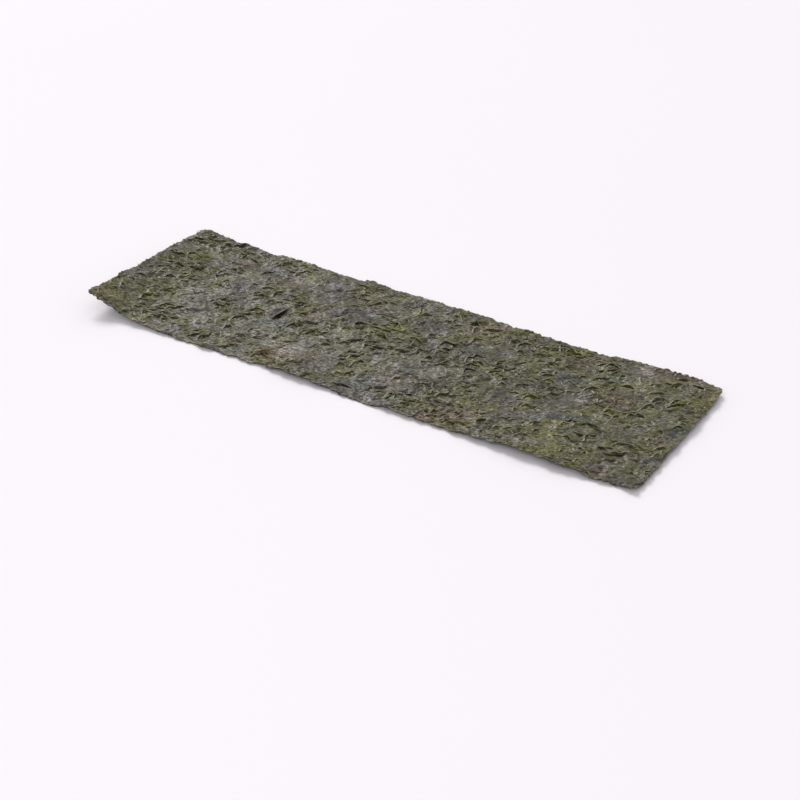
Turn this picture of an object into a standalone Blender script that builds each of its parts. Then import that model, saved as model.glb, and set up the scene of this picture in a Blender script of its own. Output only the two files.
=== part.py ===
"""A strip of toasted, seasoned nori: one thin crinkled sheet of pressed seaweed.

The sheet lies as it dried: long edges slightly wavy, one end curled up, and low spots
under it that touch the table. Its frame has +X along the strip, +Y to the far long edge
and +Z up, with the origin on the table under the middle of the sheet.
"""

import math

import bmesh
import bpy
from mathutils import Vector, noise

MM = 0.001
NAME = "nori_sheet"

# Driving dimensions of the cut strip.
LENGTH = 95.0 * MM
WIDTH = 31.0 * MM
THICKNESS = 0.26 * MM

# Faces of the sheet, counted along each side of the strip.
CELLS_LONG = 88
CELLS_WIDE = 29

# Broad swells (+) and dips (-) of the dried sheet.
# Middle along X, middle along Y, reach along X, reach along Y, height.
SWELLS = (
    (-25.0 * MM, -15.5 * MM, 9.0 * MM, 11.0 * MM, -1.20 * MM),
    (-7.5 * MM, -15.5 * MM, 4.5 * MM, 6.0 * MM, 0.55 * MM),
    (0.5 * MM, -15.5 * MM, 5.0 * MM, 7.0 * MM, -1.05 * MM),
    (15.5 * MM, -14.0 * MM, 3.5 * MM, 6.0 * MM, -0.60 * MM),
    (30.0 * MM, -15.0 * MM, 7.0 * MM, 8.0 * MM, 0.50 * MM),
    (43.0 * MM, -14.0 * MM, 3.5 * MM, 6.0 * MM, -0.70 * MM),
    (-28.0 * MM, 15.5 * MM, 11.0 * MM, 8.0 * MM, -0.80 * MM),
    (21.0 * MM, 15.5 * MM, 9.0 * MM, 7.0 * MM, -0.65 * MM),
    (39.5 * MM, 15.5 * MM, 5.0 * MM, 6.0 * MM, 0.45 * MM),
    (-8.0 * MM, 2.0 * MM, 14.0 * MM, 6.0 * MM, 0.35 * MM),
    (30.0 * MM, 0.0 * MM, 10.0 * MM, 7.0 * MM, 0.25 * MM),
)
SWELL_LEVEL = 0.62 * MM
CONTACT_SOFTNESS = 0.35 * MM
BUCKLE_HEIGHT = 0.22 * MM
BUCKLE_SIZE = 13.0 * MM

# The curled end: the near corner stands highest, the far corner hardly lifts.
CURL_REACH = 9.5 * MM
CURL_NEAR = 2.95 * MM
CURL_FAR = 0.45 * MM
CURL_POWER = 1.45
CORNER_LIFT = 0.55 * MM
CORNER_REACH = 4.0 * MM

# Torn and chipped outline.
EDGE_CHIP = 0.38 * MM
EDGE_CHIP_SIZE = 2.6 * MM
EDGE_DRIFT = 0.30 * MM
EDGE_DRIFT_SIZE = 17.0 * MM
EDGE_POWER = 9

# How far each corner is worn back (+) or drawn out into a tip (-), along X and along Y.
CORNER_WEAR = {
    (-1, -1): (-0.25 * MM, 0.0),
    (-1, 1): (0.45 * MM, 0.45 * MM),
    (1, -1): (0.45 * MM, 0.45 * MM),
    (1, 1): (0.15 * MM, 0.20 * MM),
}

# Layers of the noise that give each edge and each face its own pattern.
BUCKLE_LAYER = 4.7
CRAG_LAYER = 2.1
LOWER_CRAG_LAYER = 11.3
SHORT_EDGE_LAYER = 20.0
LONG_EDGE_LAYER = 40.0
LAYER_STEP = 3.0

# Crags of the pressed weed on the upper face, and the flatter pressed lower face.
# Ridge strength is clipped between its floor and its span above that floor.
CRAG_HEIGHT = 0.32 * MM
CRAG_SIZE = 2.7 * MM
CRAG_STRETCH = 1.5
CRAG_FLOOR = 0.35
CRAG_SPAN = 1.3
CRAG_OCTAVES = 3
LOWER_CRAG_HEIGHT = 0.05 * MM

# A thin spot where the weed did not quite close.
SLIT_X = -20.4 * MM
SLIT_Y = -1.2 * MM
SLIT_LENGTH = 3.5 * MM
SLIT_WIDTH = 1.0 * MM
SLIT_DEPTH = 0.14 * MM
SLIT_TURN = math.radians(80.0)

WEED_COLOUR = (0.070, 0.072, 0.045, 1.0)
WEED_ROUGHNESS = 0.45


def clear_scene():
    """Remove every object, so that the sheet stands alone."""
    for item in list(bpy.data.objects):
        bpy.data.objects.remove(item, do_unlink=True)


def weed_material():
    """Dried, oiled seaweed: green-black with a soft shine."""
    material = bpy.data.materials.new("toasted_weed")
    material.use_nodes = True
    shader = material.node_tree.nodes["Principled BSDF"]
    shader.inputs["Base Color"].default_value = WEED_COLOUR
    shader.inputs["Roughness"].default_value = WEED_ROUGHNESS
    shader.inputs["Metallic"].default_value = 0.0
    material.diffuse_color = WEED_COLOUR
    return material


def bell(distance):
    """A smooth hump: 1 in the middle and close to 0 at a distance of 2."""
    return math.exp(-distance * distance)


def soft_ramp(value):
    """0 below zero, 1 above one, with level ends."""
    value = min(max(value, 0.0), 1.0)
    return value * value * (3.0 - 2.0 * value)


def wobble(x, y, size, layer):
    """Gentle noise between about -1 and 1, with waves of about the given size."""
    return noise.noise(Vector((x / size, y / size, layer)))


def swell_height(x, y):
    """Height of the middle of the sheet before the table stops its low spots."""
    height = SWELL_LEVEL + BUCKLE_HEIGHT * wobble(x, y, BUCKLE_SIZE, BUCKLE_LAYER)
    for middle_x, middle_y, reach_x, reach_y, rise in SWELLS:
        distance = math.hypot((x - middle_x) / reach_x, (y - middle_y) / reach_y)
        height += rise * bell(distance)
    return height


def curl_height(x, y):
    """Lift of the curled end and of the near corner at the other end."""
    across = y / WIDTH + 0.5
    end_lift = CURL_NEAR + (CURL_FAR - CURL_NEAR) * across
    along = max(0.0, (CURL_REACH - (x + LENGTH / 2)) / CURL_REACH)
    corner = math.hypot(LENGTH / 2 - x, y + WIDTH / 2)
    return end_lift * along ** CURL_POWER + CORNER_LIFT * soft_ramp(1.0 - corner / CORNER_REACH)


def lower_height(x, y):
    """Lower face: level at zero where the sheet touches the table."""
    spare = swell_height(x, y)
    lift = 0.0
    if spare > 0.0:
        lift = spare * spare / (spare + CONTACT_SOFTNESS)
    rough = LOWER_CRAG_HEIGHT * (0.5 + 0.5 * wobble(x, y, CRAG_SIZE, LOWER_CRAG_LAYER))
    return lift + rough * soft_ramp(lift / CONTACT_SOFTNESS) + curl_height(x, y)


def crag_height(x, y):
    """Raised, overlapping bits of weed on the upper face."""
    place = Vector((x / (CRAG_SIZE * CRAG_STRETCH), y / CRAG_SIZE, CRAG_LAYER))
    roughness = 0.9
    step_between_octaves = 2.1
    offset = 1.0
    gain = 1.6
    ridges = noise.ridged_multi_fractal(
        place, roughness, step_between_octaves, CRAG_OCTAVES, offset, gain
    )
    return CRAG_HEIGHT * min(max(ridges - CRAG_FLOOR, 0.0), CRAG_SPAN) / CRAG_SPAN


def slit_depth(x, y):
    """Depth of the thin spot at a place on the upper face."""
    offset_x = x - SLIT_X
    offset_y = y - SLIT_Y
    along = offset_x * math.cos(SLIT_TURN) + offset_y * math.sin(SLIT_TURN)
    across = offset_y * math.cos(SLIT_TURN) - offset_x * math.sin(SLIT_TURN)
    return SLIT_DEPTH * bell(math.hypot(2.0 * along / SLIT_LENGTH, 2.0 * across / SLIT_WIDTH))


def edge_shift(run, layer):
    """How far a cut edge strays from its straight line at a place along it."""
    chips = -abs(wobble(run, 0.0, EDGE_CHIP_SIZE, layer))
    drift = wobble(run, LENGTH, EDGE_DRIFT_SIZE, layer)
    return EDGE_CHIP * chips + EDGE_DRIFT * drift


def outline_place(x, y):
    """Place of a grid point once the edges are chipped and the corners worn."""
    near_x = abs(x / (LENGTH / 2)) ** EDGE_POWER
    near_y = abs(y / (WIDTH / 2)) ** EDGE_POWER
    side_x = int(math.copysign(1, x))
    side_y = int(math.copysign(1, y))
    wear_x, wear_y = CORNER_WEAR[side_x, side_y]
    shift_x = near_x * edge_shift(y, SHORT_EDGE_LAYER + side_x * LAYER_STEP)
    shift_y = near_y * edge_shift(x, LONG_EDGE_LAYER + side_y * LAYER_STEP)
    shift_x -= wear_x * near_x * near_y
    shift_y -= wear_y * near_x * near_y
    return x + side_x * shift_x, y + side_y * shift_y


def flat_slab():
    """A flat slab of the sheet's size, both faces split into triangles alike."""
    mesh = bmesh.new()
    bmesh.ops.create_grid(mesh, x_segments=CELLS_LONG, y_segments=CELLS_WIDE, size=0.5)
    bmesh.ops.scale(mesh, vec=(LENGTH, WIDTH, 1.0), verts=mesh.verts)
    bmesh.ops.triangulate(mesh, faces=mesh.faces, quad_method="ALTERNATE")
    top = bmesh.ops.extrude_face_region(mesh, geom=mesh.faces[:], use_keep_orig=True)
    top_points = [item for item in top["geom"] if isinstance(item, bmesh.types.BMVert)]
    bmesh.ops.translate(mesh, vec=(0.0, 0.0, THICKNESS), verts=top_points)
    bmesh.ops.triangulate(mesh, faces=mesh.faces, quad_method="FIXED")
    bmesh.ops.recalc_face_normals(mesh, faces=mesh.faces)
    return mesh


def shape_slab(mesh):
    """Bend both faces of the flat slab into the dried sheet."""
    for point in mesh.verts:
        upper = point.co.z > THICKNESS / 2
        x, y = outline_place(point.co.x, point.co.y)
        z = lower_height(x, y)
        if upper:
            z += THICKNESS + crag_height(x, y) - slit_depth(x, y)
        point.co = Vector((x, y, z))


def centre_slab(mesh):
    """Put the origin under the middle of the sheet, since its chipped edges are uneven."""
    x_places = [point.co.x for point in mesh.verts]
    y_places = [point.co.y for point in mesh.verts]
    middle_x = (min(x_places) + max(x_places)) / 2
    middle_y = (min(y_places) + max(y_places)) / 2
    bmesh.ops.translate(mesh, vec=(-middle_x, -middle_y, 0.0), verts=mesh.verts)


def build_sheet():
    """Make the sheet and put it in a collection of its own."""
    mesh = flat_slab()
    shape_slab(mesh)
    centre_slab(mesh)
    data = bpy.data.meshes.new(NAME)
    mesh.to_mesh(data)
    mesh.free()
    data.shade_smooth()
    data.materials.append(weed_material())
    sheet = bpy.data.objects.new(NAME, data)
    group = bpy.data.collections.new(NAME)
    bpy.context.scene.collection.children.link(group)
    group.objects.link(sheet)
    return sheet


clear_scene()
build_sheet()
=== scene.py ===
# %% [markdown]
# # A strip of toasted nori
#
# Nori is chopped seaweed that was poured on a mat as a thin pulp, dried and toasted. The
# upper face shows it: small flakes of weed lie over each other, their rims curl up, and
# the whole skin is wrinkled. The solid model already holds the strip's size, waves and
# curled corner. This lesson lays the fine skin over that form and gives it its finish.

# %% Load the solid strip
import math

import bpy
import numpy as np
from mathutils import Matrix, Vector
from mathutils.bvhtree import BVHTree


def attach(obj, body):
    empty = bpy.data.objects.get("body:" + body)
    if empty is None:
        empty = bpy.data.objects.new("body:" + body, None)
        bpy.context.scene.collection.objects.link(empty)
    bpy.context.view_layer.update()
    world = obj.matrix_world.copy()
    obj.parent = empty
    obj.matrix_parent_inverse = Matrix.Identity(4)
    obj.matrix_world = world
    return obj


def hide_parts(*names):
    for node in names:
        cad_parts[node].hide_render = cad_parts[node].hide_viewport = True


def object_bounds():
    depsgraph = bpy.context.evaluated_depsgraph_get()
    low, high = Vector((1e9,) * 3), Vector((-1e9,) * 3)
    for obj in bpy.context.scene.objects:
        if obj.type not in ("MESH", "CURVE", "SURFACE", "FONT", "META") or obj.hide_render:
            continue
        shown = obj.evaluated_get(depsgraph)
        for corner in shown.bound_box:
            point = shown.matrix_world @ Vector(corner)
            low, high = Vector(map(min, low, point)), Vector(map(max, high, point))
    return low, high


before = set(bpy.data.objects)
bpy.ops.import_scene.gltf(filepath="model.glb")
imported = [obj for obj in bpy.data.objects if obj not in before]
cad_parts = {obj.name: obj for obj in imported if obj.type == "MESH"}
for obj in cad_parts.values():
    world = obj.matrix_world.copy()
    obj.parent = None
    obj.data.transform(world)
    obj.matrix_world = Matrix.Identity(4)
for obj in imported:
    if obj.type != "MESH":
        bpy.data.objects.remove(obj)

MM = 0.001
solid_low, solid_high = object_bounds()
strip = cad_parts["nori_sheet"]
print("solid strip, mm:", [round((high - low) / MM, 2) for low, high in zip(solid_low, solid_high)])

# %% [markdown]
# ## The camera first
#
# A long lens close to the strip gives the mild perspective of a product photograph. The
# camera looks down at about 33 degrees and stands 31 degrees round to the right of the
# near long edge. Placing it by angles and a distance keeps every number a real one.

# %% Place the camera
CAMERA_TURN = math.radians(30.61)
CAMERA_HEIGHT = math.radians(32.75)
CAMERA_ROLL = math.radians(0.87)
CAMERA_DISTANCE = 267.9 * MM
LOOK_AT = Vector((8.48 * MM, -13.0 * MM, 0.9 * MM))
SENSOR = 36.0
LENS = 82.87


def place_camera():
    """Stand the camera off the strip, turned, raised and rolled by the angles above."""
    back = Vector((
        math.sin(CAMERA_TURN) * math.cos(CAMERA_HEIGHT),
        -math.cos(CAMERA_TURN) * math.cos(CAMERA_HEIGHT),
        math.sin(CAMERA_HEIGHT),
    ))
    lens = bpy.data.cameras.new("camera")
    lens.sensor_width = SENSOR
    lens.lens = LENS
    lens.clip_start = 1.0 * MM
    camera = bpy.data.objects.new("camera", lens)
    turn = back.to_track_quat("Z", "Y").to_matrix().to_4x4()
    roll = Matrix.Rotation(CAMERA_ROLL, 4, "Z")
    camera.matrix_world = Matrix.Translation(LOOK_AT + back * CAMERA_DISTANCE) @ turn @ roll
    bpy.context.scene.collection.objects.link(camera)
    bpy.context.scene.camera = camera
    return camera


camera = place_camera()
print("camera stands at, mm:", [round(value / MM) for value in camera.matrix_world.translation])

# %% [markdown]
# ## Reading the solid's form
#
# The fine skin must follow the solid strip's waves. Copying its formulas here would be
# one way, but they could drift apart. Instead, rays are dropped on the solid from above
# and from below, on an even raster, which gives two height maps. A slight blur then
# takes out the corners between the solid's facets. All the maps of this lesson lie on
# one fine raster, and a blur can be stretched along the grain in which the weed was laid.

# %% Raster of the table under the strip
CELL = 0.1 * MM
MARGIN = 2.0 * MM
GRAIN_TURN = math.radians(28)
raster_x = np.arange(solid_low[0] - MARGIN, solid_high[0] + MARGIN, CELL)
raster_y = np.arange(solid_low[1] - MARGIN, solid_high[1] + MARGIN, CELL)
SHAPE = (len(raster_y), len(raster_x))
print("raster:", SHAPE)


def spectrum_of(reach, stretch):
    """Weights that blur a raster over the given reach, stretched along the weed's grain."""
    wave_y = np.fft.fftfreq(SHAPE[0])[:, None] * 2 * math.pi
    wave_x = np.fft.rfftfreq(SHAPE[1])[None, :] * 2 * math.pi
    along = wave_x * math.cos(GRAIN_TURN) + wave_y * math.sin(GRAIN_TURN)
    across = wave_y * math.cos(GRAIN_TURN) - wave_x * math.sin(GRAIN_TURN)
    cells = reach / CELL
    return np.exp(-0.5 * cells ** 2 * (across ** 2 + (along * stretch) ** 2))


def blurred(field, reach, stretch=1.0):
    """A raster softened over the given reach."""
    return np.fft.irfft2(np.fft.rfft2(field) * spectrum_of(reach, stretch), s=SHAPE)


# %% Drop rays on the solid
PROBE = 0.5 * MM
PROBE_START = 0.3 * PROBE
PROBE_RISE = 20.0 * MM
FORM_BLUR = 0.5 * MM
JUST_OVER_ONE = 1.000001  # keeps the last reading inside its map


def fill_outwards(heights):
    """Give each empty place the mean of its filled neighbours, ring after ring."""
    while np.isnan(heights).any():
        padded = np.pad(heights, 1, constant_values=np.nan)
        around = np.stack([
            padded[1 + dy:padded.shape[0] - 1 + dy, 1 + dx:padded.shape[1] - 1 + dx]
            for dy in (-1, 0, 1) for dx in (-1, 0, 1)
        ])
        known = ~np.isnan(around)
        total = np.where(known, around, 0.0).sum(axis=0)
        count = known.sum(axis=0)
        fresh = np.isnan(heights) & (count > 0)
        heights[fresh] = total[fresh] / count[fresh]
    return heights


def probe_heights(tree, from_above):
    """Heights of the solid on a coarse raster; places beside it take their neighbour's."""
    start = PROBE_RISE if from_above else -PROBE_RISE
    aim = Vector((0.0, 0.0, -1.0 if from_above else 1.0))
    columns = np.arange(solid_low[0] + PROBE_START, solid_high[0], PROBE)
    rows = np.arange(solid_low[1] + PROBE_START, solid_high[1], PROBE)
    heights = np.full((len(rows), len(columns)), np.nan)
    for row, y in enumerate(rows):
        for column, x in enumerate(columns):
            hit = tree.ray_cast(Vector((x, y, start)), aim)[0]
            if hit is not None:
                heights[row, column] = hit.z
    return columns, rows, fill_outwards(heights)


def between(values, places, wanted):
    """Straight-line reading of evenly spaced values at the wanted places, row by row."""
    step = (wanted - places[0]) / (places[1] - places[0])
    step = np.clip(step, 0, len(places) - JUST_OVER_ONE)
    left = step.astype(int)
    part = step - left
    return values[..., left] * (1 - part) + values[..., left + 1] * part


def form_map(tree, from_above):
    """The solid's upper or lower face as a height map on the fine raster."""
    columns, rows, heights = probe_heights(tree, from_above)
    wide = between(heights, columns, raster_x)
    return blurred(between(wide.T, rows, raster_y).T, FORM_BLUR)


solid_tree = BVHTree.FromObject(strip, bpy.context.evaluated_depsgraph_get())
upper_form = form_map(solid_tree, True)
lower_form = form_map(solid_tree, False)
print("mean thickness of the solid, mm:", round(float((upper_form - lower_form).mean()) / MM, 3))

# %% [markdown]
# ## Maps to paint on
#
# Real weed is uneven in height, colour, oil and shade, and all of these change together
# from flake to flake. So each gets a map of its own, and every brush below paints on
# several maps at once. Random swells, which are blurred white noise, say where the weed
# is crowded. Texture nodes could give the same colours, but not the matching relief.

# %% Empty maps and random swells
OUTLINE_REACH = 0.35 * MM
WANDER_REACH = 1.3 * MM
CROWDING_LAYERS = ((0.75, 0.9, 13, 1.6), (0.65, 3.0, 14, 1.0))
DICE_SEED = 21


def swells(reach, seed, stretch=1.0):
    """Random ups and downs softened over the reach, with a mean of 0 and a spread of 1."""
    white = np.random.default_rng(seed).standard_normal(SHAPE)
    field = blurred(white, reach, stretch)
    return (field - field.mean()) / field.std()


def layered(layers, sharp=False):
    """A sum of swells, from rows of weight, reach in mm, seed and stretch along the grain.

    Sharp ones are folded over at their middle height, which makes creases there.
    """
    total = np.zeros(SHAPE)
    for weight, reach, seed, stretch in layers:
        field = swells(reach * MM, seed, stretch)
        total += weight * (np.abs(field) if sharp else field)
    return total


relief = np.zeros(SHAPE)  # height above the solid's own form
hue = np.zeros(SHAPE)  # from violet over grey and olive to yellow
film = np.zeros(SHAPE)  # how much oil lies on the skin
shade = np.zeros(SHAPE)  # from dark to light
gap_shade = np.zeros(SHAPE)  # 1 in the gaps under the wrinkles, where shade is painted dark
crest_light = np.zeros(SHAPE)  # 1 on a thin pale crest line, a painted highlight
outline_noise = swells(OUTLINE_REACH, seed=11)
wander_noise = swells(WANDER_REACH, seed=12)
crowding = layered(CROWDING_LAYERS)
dice = np.random.default_rng(DICE_SEED)
print("crowding runs from", round(float(crowding.min()), 1), "to", round(float(crowding.max()), 1))

# %% [markdown]
# ## Flakes
#
# The skin was laid down as overlapping flakes, which leave low steps with uneven
# outlines. Modelled as hundreds of loose plates, they would cut through each other. Here
# each flake is a blot on the height map, so that a later one lies over an earlier one.
# It also tints the maps of hue, oil film and shade, because no two flakes dried alike.

# %% Paint the flakes
FLAKES = 1500
FLAKE_HALF_LENGTH = 1.6 * MM
FLAKE_LENGTH_SPREAD = 0.5
LARGEST_HALF_LENGTH = 5.0 * MM
FLAKE_PROPORTIONS = (0.3, 0.75)
FLAKE_TURN_SPREAD = 0.7
FLAKE_STEPS = (0.010, 0.050)  # in mm, like the tilts
FLAKE_TILTS = (-0.04, 0.04)
FLAKE_VARIETY = 0.8
FLAKE_FINE_RAGS = 0.16
FLAKE_BROAD_RAGS = 0.10
FLAKE_RIM = 0.15 * MM
FLAKE_FADE = 0.40 * MM
FLAKE_WINDOW = 1.5
TINT_PART = 0.5


def window(x, y, reach):
    """Slices of the raster around a place, and the offsets from that place."""
    column = int(round((x - raster_x[0]) / CELL))
    row = int(round((y - raster_y[0]) / CELL))
    cells = int(math.ceil(reach / CELL))
    rows = slice(max(0, row - cells), min(SHAPE[0], row + cells + 1))
    columns = slice(max(0, column - cells), min(SHAPE[1], column + cells + 1))
    offset_y, offset_x = np.meshgrid(raster_y[rows] - y, raster_x[columns] - x, indexing="ij")
    return rows, columns, offset_x, offset_y


def turned(offset_x, offset_y, turn):
    """Offsets along and across a direction."""
    along = offset_x * math.cos(turn) + offset_y * math.sin(turn)
    across = offset_y * math.cos(turn) - offset_x * math.sin(turn)
    return along, across


def any_place():
    """A random place on the raster."""
    x = dice.uniform(raster_x[0], raster_x[-1])
    y = dice.uniform(raster_y[0], raster_y[-1])
    return x, y


def tint(field, rows, columns, value, strength):
    """Pull a stretch of a map part of the way towards a value."""
    field[rows, columns] += (value - field[rows, columns]) * strength * TINT_PART


def paint_flake():
    """Lay one flake of weed over what is there."""
    x, y = any_place()
    growth = math.exp(FLAKE_LENGTH_SPREAD * dice.standard_normal())
    half_length = min(FLAKE_HALF_LENGTH * growth, LARGEST_HALF_LENGTH)
    half_width = half_length * dice.uniform(*FLAKE_PROPORTIONS)
    turn = GRAIN_TURN + FLAKE_TURN_SPREAD * dice.standard_normal()
    step = dice.uniform(*FLAKE_STEPS) * MM
    tilt = dice.uniform(*FLAKE_TILTS) * MM
    rows, columns, offset_x, offset_y = window(x, y, FLAKE_WINDOW * half_length)
    along, across = turned(offset_x, offset_y, turn)
    ring = np.hypot(along / half_length, across / half_width)
    ring += FLAKE_FINE_RAGS * outline_noise[rows, columns]
    ring += FLAKE_BROAD_RAGS * wander_noise[rows, columns]
    inside = np.clip((1 - ring) * half_width / FLAKE_RIM, 0, 1)
    soft = np.clip((1 - ring) * half_width / FLAKE_FADE, 0, 1)
    relief[rows, columns] += inside * (step + tilt * along / half_length)
    for field in (hue, film, shade):
        tint(field, rows, columns, FLAKE_VARIETY * dice.standard_normal(), soft)


for count in range(FLAKES):
    paint_flake()
print("flakes:", FLAKES, " highest pile, mm:", round(float(relief.max()) / MM, 2))

# %% [markdown]
# ## Wrinkles
#
# The skin shrank as it dried. That leaves short bent crests that rise gently on one side
# and drop off sharply on the other, with a gap under the steep side, which is painted
# dark as shade. Most run along the grain, and they crowd in patches. Crests keep more
# olive weed and less oil, and some get a thin pale line along the top, a painted
# highlight. One class holds a wrinkle's measures, because the same crest is painted on
# the maps here and gets a thin lip of its own further on.

# %% Measures of one wrinkle
# Ranges of the random parts, with lengths in mm, and what a full-sized wrinkle adds.
LENGTHS = (0.20, 0.45)
LENGTH_GROWTH = 1.6
HEIGHTS = (0.015, 0.040)
HEIGHT_GROWTH = 0.15
GENTLE_SIDES = (0.16, 0.28)
STEEP_SIDES = (0.11, 0.16)
STEEP_LOSS = 0.03
OVERHANGS = (0.04, 0.13)
WIDTH_GROWTH = 0.8
GAP_SPREAD = (0.7, 1.3)
LEAST_GAP = 0.08
GAP_GROWTH = 0.12
GAP_DEPTHS = (-0.22, 0.12)
GAP_DEPTH_GROWTH = 1.1
LEAST_GAP_DEPTH = 0.03
BENDS = (-1.5, 0.3)
BEND_STRENGTHS = (0.3, 1.0)
SWINGS = (0.05, 0.30)
LEAST_SWING = 0.3
WAVES = (2.0, 4.0)
SCALLOPED_PART = 0.5
CURLS = (0.15, 0.50)
# How strong the painted highlight on a crest line and on a lip's margin is.
HIGHLIGHT_STRENGTHS = (0.1, 1.0)
GREENNESS = (0.2, 2.6)
TURN_SPREAD = 0.45
REVERSED_PART = 0.15


class Wrinkle:
    """One bent crest: where it lies, how it runs and how high it stands."""

    def __init__(self, size):
        self.x, self.y = any_place()
        self.half_length = (dice.uniform(*LENGTHS) + LENGTH_GROWTH * size) * MM
        self.height = (dice.uniform(*HEIGHTS) + HEIGHT_GROWTH * size) * MM
        self.gentle = dice.uniform(*GENTLE_SIDES) * MM * (1 + WIDTH_GROWTH * size)
        self.steep = (dice.uniform(*STEEP_SIDES) - STEEP_LOSS * size) * MM
        self.gap = dice.uniform(*GAP_SPREAD) * (LEAST_GAP + GAP_GROWTH * size) * MM
        gap_depth = GAP_DEPTH_GROWTH * size + dice.uniform(*GAP_DEPTHS)
        self.gap_depth = min(max(gap_depth, LEAST_GAP_DEPTH), 1.0)
        self.bend = dice.uniform(*BENDS) * dice.uniform(*BEND_STRENGTHS) / self.half_length
        self.swing = dice.uniform(*SWINGS) * MM * (LEAST_SWING + size)
        self.waves = dice.uniform(*WAVES) / self.half_length
        self.phase = dice.uniform(0, 2 * math.pi)
        self.scalloped = dice.uniform() < SCALLOPED_PART
        self.overhang = dice.uniform(*OVERHANGS) * MM * (1 + WIDTH_GROWTH * size)
        self.curl = dice.uniform(*CURLS) * self.overhang
        self.highlight_strength = dice.uniform(*HIGHLIGHT_STRENGTHS)
        self.greenness = dice.uniform(*GREENNESS)
        self.turn = GRAIN_TURN + TURN_SPREAD * dice.standard_normal()
        if dice.uniform() < REVERSED_PART:
            self.turn += math.pi

    def middle_line(self, along):
        """How far the crest strays across its own direction."""
        swing = np.sin(self.waves * along + self.phase)
        if self.scalloped:
            swing = 2 * np.abs(swing) - 1
        return self.bend * along ** 2 + self.swing * swing

    def taper(self, along):
        """Full height in the middle, running out at both ends."""
        return np.clip(1 - (along / self.half_length) ** 2, 0, 1)

    def place(self, along, across):
        """Places on the table for offsets along and across the wrinkle."""
        x = self.x + along * math.cos(self.turn) - across * math.sin(self.turn)
        y = self.y + along * math.sin(self.turn) + across * math.cos(self.turn)
        return x, y


print("lengths of wrinkles, mm:", 2 * LENGTHS[0], "to", round(2 * (LENGTHS[1] + LENGTH_GROWTH), 1))

# %% Brush for a wrinkle
WRINKLE_WINDOW = 1.3
GROOVE_DEPTH = 0.06 * MM
GAP_FILLING = 0.8
CREST_LINE = 0.10 * MM
GLOW_HEIGHT = 0.12 * MM
GLOW_WIDTH = 2.2
DRY_CREST = -1.4


def bell(distance):
    """A smooth hump: 1 in the middle and close to 0 at a distance of 2."""
    return np.exp(-distance ** 2)


def paint_wrinkle(wrinkle):
    """Raise one wrinkle, with a narrow gap under its steep side."""
    reach = WRINKLE_WINDOW * wrinkle.half_length + abs(wrinkle.bend) * wrinkle.half_length ** 2
    reach += 2 * wrinkle.swing
    rows, columns, offset_x, offset_y = window(wrinkle.x, wrinkle.y, reach)
    along, across = turned(offset_x, offset_y, wrinkle.turn)
    slope = (wrinkle.middle_line(along + CELL) - wrinkle.middle_line(along - CELL)) / (2 * CELL)
    across = (across - wrinkle.middle_line(along)) / np.hypot(1, slope)
    crest = bell(across / np.where(across > 0, wrinkle.gentle, wrinkle.steep))
    groove = bell((across + wrinkle.steep + wrinkle.gap) / wrinkle.gap)
    taper = wrinkle.taper(along)
    depth = groove * taper * wrinkle.gap_depth
    relief[rows, columns] += wrinkle.height * taper * crest - GROOVE_DEPTH * depth
    # The gap under the steep side is painted dark as shade; a later crest that covers it takes most
    # of that shade away.
    filled = gap_shade[rows, columns] * (1 - GAP_FILLING * crest * taper)
    gap_shade[rows, columns] = np.maximum(filled, depth)
    covered = crest_light[rows, columns] * (1 - crest * taper)
    # A thin pale line along the crest is painted highlight.
    line = bell(across / CREST_LINE) * taper * wrinkle.highlight_strength
    crest_light[rows, columns] = np.maximum(covered, line)
    strength = min(wrinkle.height / GLOW_HEIGHT, 1)
    glow = bell(across / (GLOW_WIDTH * wrinkle.gentle)) * taper * strength
    tint(hue, rows, columns, wrinkle.greenness, glow)
    tint(film, rows, columns, DRY_CREST, glow)


print("deepest gap, mm:", round(GROOVE_DEPTH / MM, 2))

# %% Paint the wrinkles
SLIT_PLACE = (-20.27 * MM, -1.2 * MM)
SLIT_TURN = math.radians(80.0)
SLIT_HALF_LENGTH = 1.75 * MM
CLEAR_ALONG = 1.4 * SLIT_HALF_LENGTH
CLEAR_ACROSS = 1.1 * MM
SMALL_WRINKLES = 5000
SMALL_LIMIT = 0.5
SMALL_POWER = 2.4  # most are far below the limit
LARGE_WRINKLES = 680
LARGE_SIZES = (0.35, 1)
CROWDED_ENOUGH = (-1.7, 1.5)  # a wrinkle stays where the crowding beats a level drawn here


def read_map(field, x, y):
    """Value of a raster at each of the given places."""
    step_x = np.clip((x - raster_x[0]) / CELL, 0, SHAPE[1] - JUST_OVER_ONE)
    step_y = np.clip((y - raster_y[0]) / CELL, 0, SHAPE[0] - JUST_OVER_ONE)
    column, row = np.asarray(step_x).astype(int), np.asarray(step_y).astype(int)
    part_x, part_y = step_x - column, step_y - row
    low = field[row, column] * (1 - part_x) + field[row, column + 1] * part_x
    high = field[row + 1, column] * (1 - part_x) + field[row + 1, column + 1] * part_x
    return low * (1 - part_y) + high * part_y


def near_slit(x, y):
    """Whether a place is too close to the thin spot for a wrinkle to start there."""
    along, across = turned(x - SLIT_PLACE[0], y - SLIT_PLACE[1], SLIT_TURN)
    return abs(along) < CLEAR_ALONG and abs(across) < CLEAR_ACROSS


small_sizes = SMALL_LIMIT * dice.uniform(0, 1, SMALL_WRINKLES) ** SMALL_POWER
large_sizes = dice.uniform(*LARGE_SIZES, LARGE_WRINKLES)
wrinkles = []
for size in np.concatenate([small_sizes, large_sizes]):
    wrinkle = Wrinkle(size)
    if near_slit(wrinkle.x, wrinkle.y):
        continue
    if dice.uniform(*CROWDED_ENOUGH) < read_map(crowding, wrinkle.x, wrinkle.y):
        wrinkles.append(wrinkle)
        paint_wrinkle(wrinkle)
print("wrinkles:", len(wrinkles))

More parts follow.
